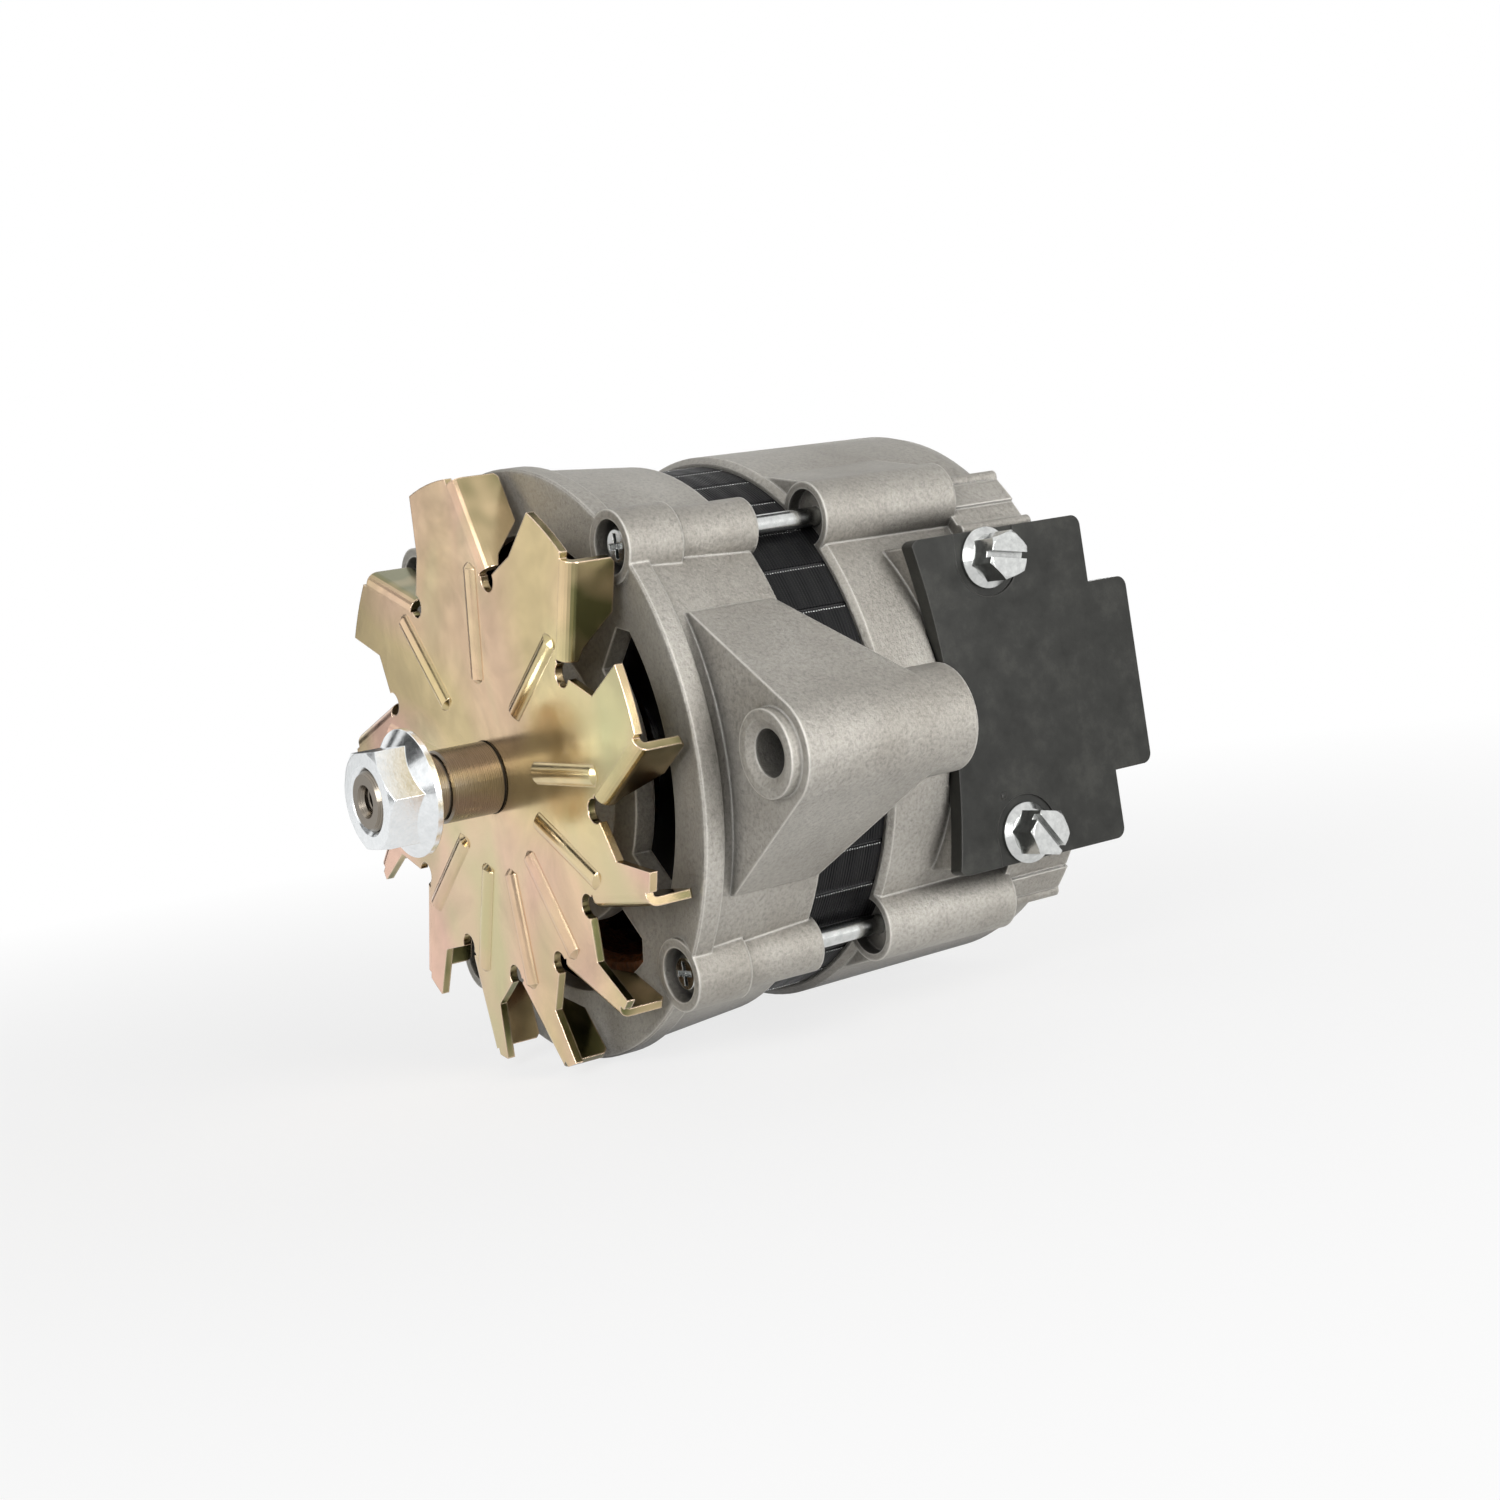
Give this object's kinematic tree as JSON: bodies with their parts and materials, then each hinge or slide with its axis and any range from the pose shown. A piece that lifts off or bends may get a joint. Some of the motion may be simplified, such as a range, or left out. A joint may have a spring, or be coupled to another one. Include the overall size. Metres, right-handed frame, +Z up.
{
  "type": "engine alternator",
  "caption": "Engine alternator with a stamped front fan, ribbed castings, pivot lug, exposed stator, claw pole rotor, brush gear, rectifier and side cover.",
  "frame": {"origin": "On the shaft axis, at the middle of the pulley seat.", "axes": "The shaft lies along Y, the pulley end to -Y and the rear wall to +Y. The pivot lug and the side cover face +X. Z is up."},
  "size_m": [0.19, 0.1752, 0.1392],
  "materials": {
    "cast_aluminium": "fine cast grain, satin",
    "sheet_aluminium": "satin",
    "lamination": "dark varnish",
    "winding": "varnished copper wire",
    "zinc_steel": "bright zinc plate",
    "bearing_steel": "ground",
    "cage_brass": "satin",
    "pole_iron": "varnished",
    "ring_brass": "turned",
    "yellow_zinc": "yellow passivated zinc plate, iridescent",
    "black_plastic": "satin moulded",
    "carbon": "pressed carbon"
  },
  "bodies": {
    "housing": {"drive_end_bracket": "cast_aluminium", "stator_core": "lamination", "stator_winding": "winding", "slip_ring_end_bracket": "cast_aluminium", "through_bolts": "zinc_steel", "front_bearing_outer_race": "bearing_steel", "bearing_retainer_plate": "zinc_steel", "retainer_screws": "zinc_steel", "rear_bearing_outer_race": "bearing_steel", "rear_bearing_cap": "black_plastic", "side_cover": "black_plastic", "cover_screws": "zinc_steel", "brush_holder": "black_plastic", "brush_holder_screws": "zinc_steel", "front_brush_spring": "ring_brass", "rear_brush_spring": "ring_brass", "positive_heat_sink": "sheet_aluminium", "negative_heat_sink": "sheet_aluminium", "positive_diodes": "zinc_steel", "negative_diodes": "zinc_steel", "rectifier_screws": "zinc_steel", "rectifier_spacers": "black_plastic", "exciter_diode_block": "black_plastic", "battery_terminal_stud": "zinc_steel", "battery_terminal_insulator": "black_plastic", "battery_terminal_nut": "zinc_steel", "indicator_terminal_stud": "zinc_steel", "indicator_terminal_insulator": "black_plastic", "indicator_terminal_nut": "zinc_steel"},
    "rotor": {"rotor_shaft": "bearing_steel", "front_bearing_inner_race": "bearing_steel", "rear_bearing_inner_race": "bearing_steel", "front_claw_pole": "pole_iron", "rear_claw_pole": "pole_iron", "coil_bobbin": "black_plastic", "field_coil": "winding", "slip_ring_insulator": "black_plastic", "front_slip_ring": "ring_brass", "rear_slip_ring": "ring_brass", "cooling_fan": "yellow_zinc", "fan_spacer": "zinc_steel"},
    "nut": {"pulley_nut": "zinc_steel"},
    "front_ball_set": {"front_bearing_balls": "bearing_steel", "front_bearing_cage": "cage_brass"},
    "rear_ball_set": {"rear_bearing_balls": "bearing_steel", "rear_bearing_cage": "cage_brass"},
    "front_brush_body": {"front_brush": "carbon"},
    "rear_brush_body": {"rear_brush": "carbon"}
  },
  "joints": [
    {"name": "rotor_spin", "type": "hinge", "parent": "housing", "child": "rotor", "pos_m": [0, 0, 0], "axis": [0, -1, 0], "continuous": true},
    {"name": "nut_slide", "type": "slide", "parent": "rotor", "child": "nut", "axis": [0, -1, 0], "range_m": [0, 0.06]},
    {"name": "front_balls_spin", "type": "hinge", "parent": "housing", "child": "front_ball_set", "pos_m": [0, 0.0266, 0], "axis": [0, -1, 0], "continuous": true},
    {"name": "rear_balls_spin", "type": "hinge", "parent": "housing", "child": "rear_ball_set", "pos_m": [0, 0.123, 0], "axis": [0, -1, 0], "continuous": true},
    {"name": "front_brush_slide", "type": "slide", "parent": "housing", "child": "front_brush_body", "axis": [1, 0, 0], "range_m": [0, 0.003], "stiffness_N_per_m": 300, "springref_m": -0.008, "deforming": ["front_brush_spring"]},
    {"name": "rear_brush_slide", "type": "slide", "parent": "housing", "child": "rear_brush_body", "axis": [1, 0, 0], "range_m": [0, 0.003], "stiffness_N_per_m": 300, "springref_m": -0.008, "deforming": ["rear_brush_spring"]}
  ],
  "couplings": [
    {"joint": "front_balls_spin", "follows": "rotor_spin", "ratio": 0.383},
    {"joint": "rear_balls_spin", "follows": "rotor_spin", "ratio": 0.384}
  ]
}
